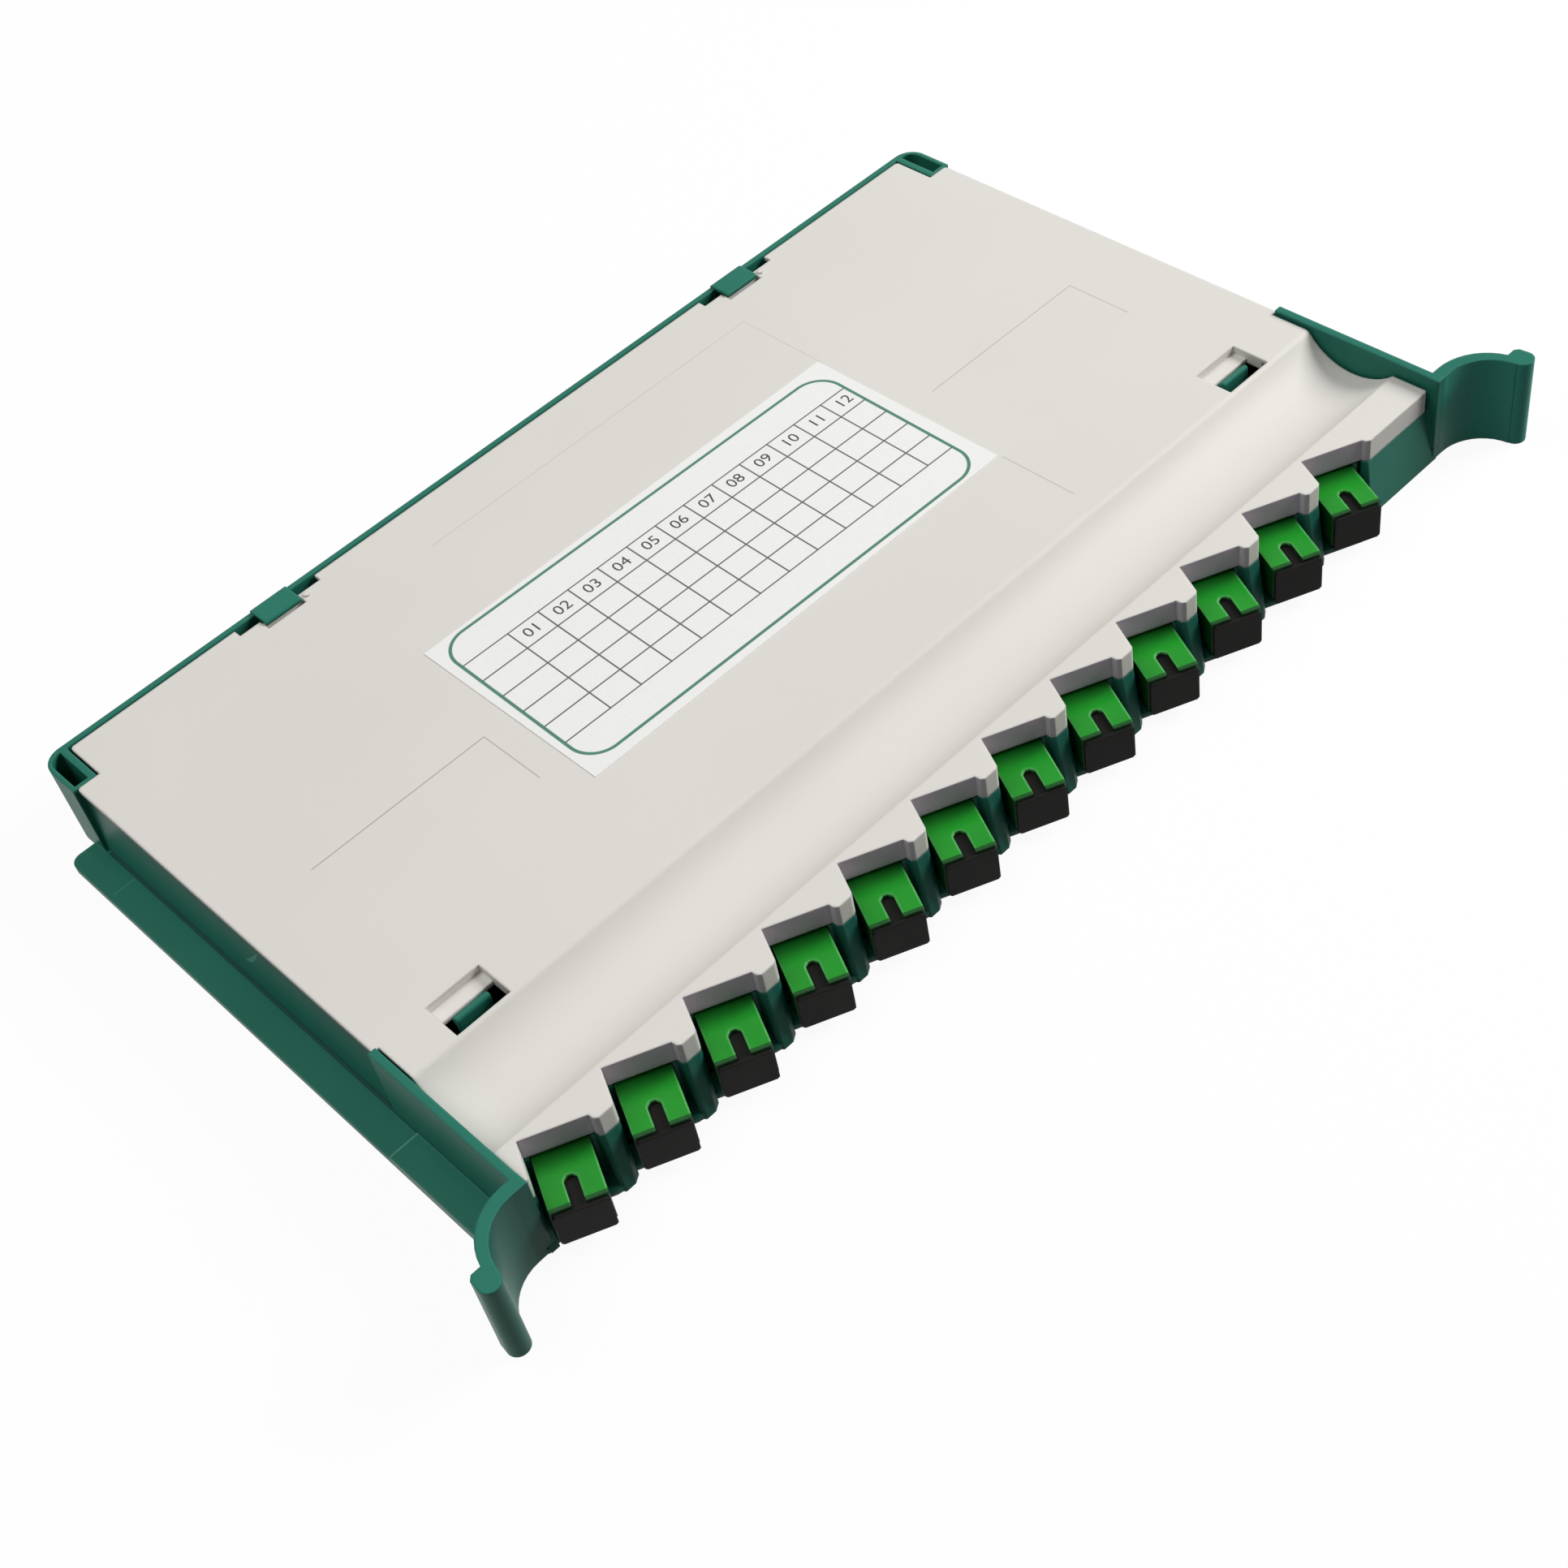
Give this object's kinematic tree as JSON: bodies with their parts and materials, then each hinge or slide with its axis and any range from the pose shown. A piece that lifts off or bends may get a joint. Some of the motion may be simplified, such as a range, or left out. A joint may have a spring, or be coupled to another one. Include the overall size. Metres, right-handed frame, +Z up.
{
  "type": "fibre splice tray",
  "caption": "Flat fibre splice and distribution tray: green moulded body with side rails and pull ears, hinged grey lid, angled row of capped adapters.",
  "frame": {"origin": "centre of the bounding box, at its bottom", "axes": "+X along the row of ports, port 1 at -X; -Y the port side; +Z up through the lid"},
  "size_m": [0.34, 0.1949, 0.025],
  "materials": {
    "tray_green": "satin moulded",
    "lid_grey": "fine matt moulded",
    "label_white": "smooth printed",
    "holder_grey": "matt moulded",
    "adapter_green": "glossy moulded",
    "insert_cream": "matt moulded",
    "cap_black": "satin soft plastic",
    "ceramic_white": "ground"
  },
  "bodies": {
    "tray_unit": {"tray": "tray_green", "splice_holder": "holder_grey", "ceramic_sleeves": "ceramic_white", "adapter_01": "adapter_green", "adapter_02": "adapter_green", "adapter_03": "adapter_green", "adapter_04": "adapter_green", "adapter_05": "adapter_green", "adapter_06": "adapter_green", "adapter_07": "adapter_green", "adapter_08": "adapter_green", "adapter_09": "adapter_green", "adapter_10": "adapter_green", "adapter_11": "adapter_green", "adapter_12": "adapter_green", "latch_insert_01": "insert_cream", "latch_insert_02": "insert_cream", "latch_insert_03": "insert_cream", "latch_insert_04": "insert_cream", "latch_insert_05": "insert_cream", "latch_insert_06": "insert_cream", "latch_insert_07": "insert_cream", "latch_insert_08": "insert_cream", "latch_insert_09": "insert_cream", "latch_insert_10": "insert_cream", "latch_insert_11": "insert_cream", "latch_insert_12": "insert_cream"},
    "lid_unit": {"lid": "lid_grey", "index_label": "label_white"},
    "outer_cap_01": {"outer_cap_01": "cap_black"},
    "inner_cap_01": {"inner_cap_01": "cap_black"},
    "outer_cap_02": {"outer_cap_02": "cap_black"},
    "inner_cap_02": {"inner_cap_02": "cap_black"},
    "outer_cap_03": {"outer_cap_03": "cap_black"},
    "inner_cap_03": {"inner_cap_03": "cap_black"},
    "outer_cap_04": {"outer_cap_04": "cap_black"},
    "inner_cap_04": {"inner_cap_04": "cap_black"},
    "outer_cap_05": {"outer_cap_05": "cap_black"},
    "inner_cap_05": {"inner_cap_05": "cap_black"},
    "outer_cap_06": {"outer_cap_06": "cap_black"},
    "inner_cap_06": {"inner_cap_06": "cap_black"},
    "outer_cap_07": {"outer_cap_07": "cap_black"},
    "inner_cap_07": {"inner_cap_07": "cap_black"},
    "outer_cap_08": {"outer_cap_08": "cap_black"},
    "inner_cap_08": {"inner_cap_08": "cap_black"},
    "outer_cap_09": {"outer_cap_09": "cap_black"},
    "inner_cap_09": {"inner_cap_09": "cap_black"},
    "outer_cap_10": {"outer_cap_10": "cap_black"},
    "inner_cap_10": {"inner_cap_10": "cap_black"},
    "outer_cap_11": {"outer_cap_11": "cap_black"},
    "inner_cap_11": {"inner_cap_11": "cap_black"},
    "outer_cap_12": {"outer_cap_12": "cap_black"},
    "inner_cap_12": {"inner_cap_12": "cap_black"}
  },
  "joints": [
    {"name": "lid_hinge", "type": "hinge", "parent": "tray_unit", "child": "lid_unit", "pos_m": [0, 0.0916, 0.0227], "axis": [-1, 0, 0], "range_deg": [0, 100]},
    {"name": "outer_cap_01_pull", "type": "slide", "parent": "tray_unit", "child": "outer_cap_01", "axis": [-0.4226, -0.9063, 0], "range_m": [0, 0.012]},
    {"name": "inner_cap_01_pull", "type": "slide", "parent": "tray_unit", "child": "inner_cap_01", "axis": [0.4226, 0.9063, 0], "range_m": [0, 0.0105]},
    {"name": "outer_cap_02_pull", "type": "slide", "parent": "tray_unit", "child": "outer_cap_02", "axis": [-0.4226, -0.9063, 0], "range_m": [0, 0.012]},
    {"name": "inner_cap_02_pull", "type": "slide", "parent": "tray_unit", "child": "inner_cap_02", "axis": [0.4226, 0.9063, 0], "range_m": [0, 0.0105]},
    {"name": "outer_cap_03_pull", "type": "slide", "parent": "tray_unit", "child": "outer_cap_03", "axis": [-0.4226, -0.9063, 0], "range_m": [0, 0.012]},
    {"name": "inner_cap_03_pull", "type": "slide", "parent": "tray_unit", "child": "inner_cap_03", "axis": [0.4226, 0.9063, 0], "range_m": [0, 0.0105]},
    {"name": "outer_cap_04_pull", "type": "slide", "parent": "tray_unit", "child": "outer_cap_04", "axis": [-0.4226, -0.9063, 0], "range_m": [0, 0.012]},
    {"name": "inner_cap_04_pull", "type": "slide", "parent": "tray_unit", "child": "inner_cap_04", "axis": [0.4226, 0.9063, 0], "range_m": [0, 0.0105]},
    {"name": "outer_cap_05_pull", "type": "slide", "parent": "tray_unit", "child": "outer_cap_05", "axis": [-0.4226, -0.9063, 0], "range_m": [0, 0.012]},
    {"name": "inner_cap_05_pull", "type": "slide", "parent": "tray_unit", "child": "inner_cap_05", "axis": [0.4226, 0.9063, 0], "range_m": [0, 0.0105]},
    {"name": "outer_cap_06_pull", "type": "slide", "parent": "tray_unit", "child": "outer_cap_06", "axis": [-0.4226, -0.9063, 0], "range_m": [0, 0.012]},
    {"name": "inner_cap_06_pull", "type": "slide", "parent": "tray_unit", "child": "inner_cap_06", "axis": [0.4226, 0.9063, 0], "range_m": [0, 0.0105]},
    {"name": "outer_cap_07_pull", "type": "slide", "parent": "tray_unit", "child": "outer_cap_07", "axis": [-0.4226, -0.9063, 0], "range_m": [0, 0.012]},
    {"name": "inner_cap_07_pull", "type": "slide", "parent": "tray_unit", "child": "inner_cap_07", "axis": [0.4226, 0.9063, 0], "range_m": [0, 0.0105]},
    {"name": "outer_cap_08_pull", "type": "slide", "parent": "tray_unit", "child": "outer_cap_08", "axis": [-0.4226, -0.9063, 0], "range_m": [0, 0.012]},
    {"name": "inner_cap_08_pull", "type": "slide", "parent": "tray_unit", "child": "inner_cap_08", "axis": [0.4226, 0.9063, 0], "range_m": [0, 0.0105]},
    {"name": "outer_cap_09_pull", "type": "slide", "parent": "tray_unit", "child": "outer_cap_09", "axis": [-0.4226, -0.9063, 0], "range_m": [0, 0.012]},
    {"name": "inner_cap_09_pull", "type": "slide", "parent": "tray_unit", "child": "inner_cap_09", "axis": [0.4226, 0.9063, 0], "range_m": [0, 0.0105]},
    {"name": "outer_cap_10_pull", "type": "slide", "parent": "tray_unit", "child": "outer_cap_10", "axis": [-0.4226, -0.9063, 0], "range_m": [0, 0.012]},
    {"name": "inner_cap_10_pull", "type": "slide", "parent": "tray_unit", "child": "inner_cap_10", "axis": [0.4226, 0.9063, 0], "range_m": [0, 0.0105]},
    {"name": "outer_cap_11_pull", "type": "slide", "parent": "tray_unit", "child": "outer_cap_11", "axis": [-0.4226, -0.9063, 0], "range_m": [0, 0.012]},
    {"name": "inner_cap_11_pull", "type": "slide", "parent": "tray_unit", "child": "inner_cap_11", "axis": [0.4226, 0.9063, 0], "range_m": [0, 0.0105]},
    {"name": "outer_cap_12_pull", "type": "slide", "parent": "tray_unit", "child": "outer_cap_12", "axis": [-0.4226, -0.9063, 0], "range_m": [0, 0.012]},
    {"name": "inner_cap_12_pull", "type": "slide", "parent": "tray_unit", "child": "inner_cap_12", "axis": [0.4226, 0.9063, 0], "range_m": [0, 0.0105]}
  ]
}
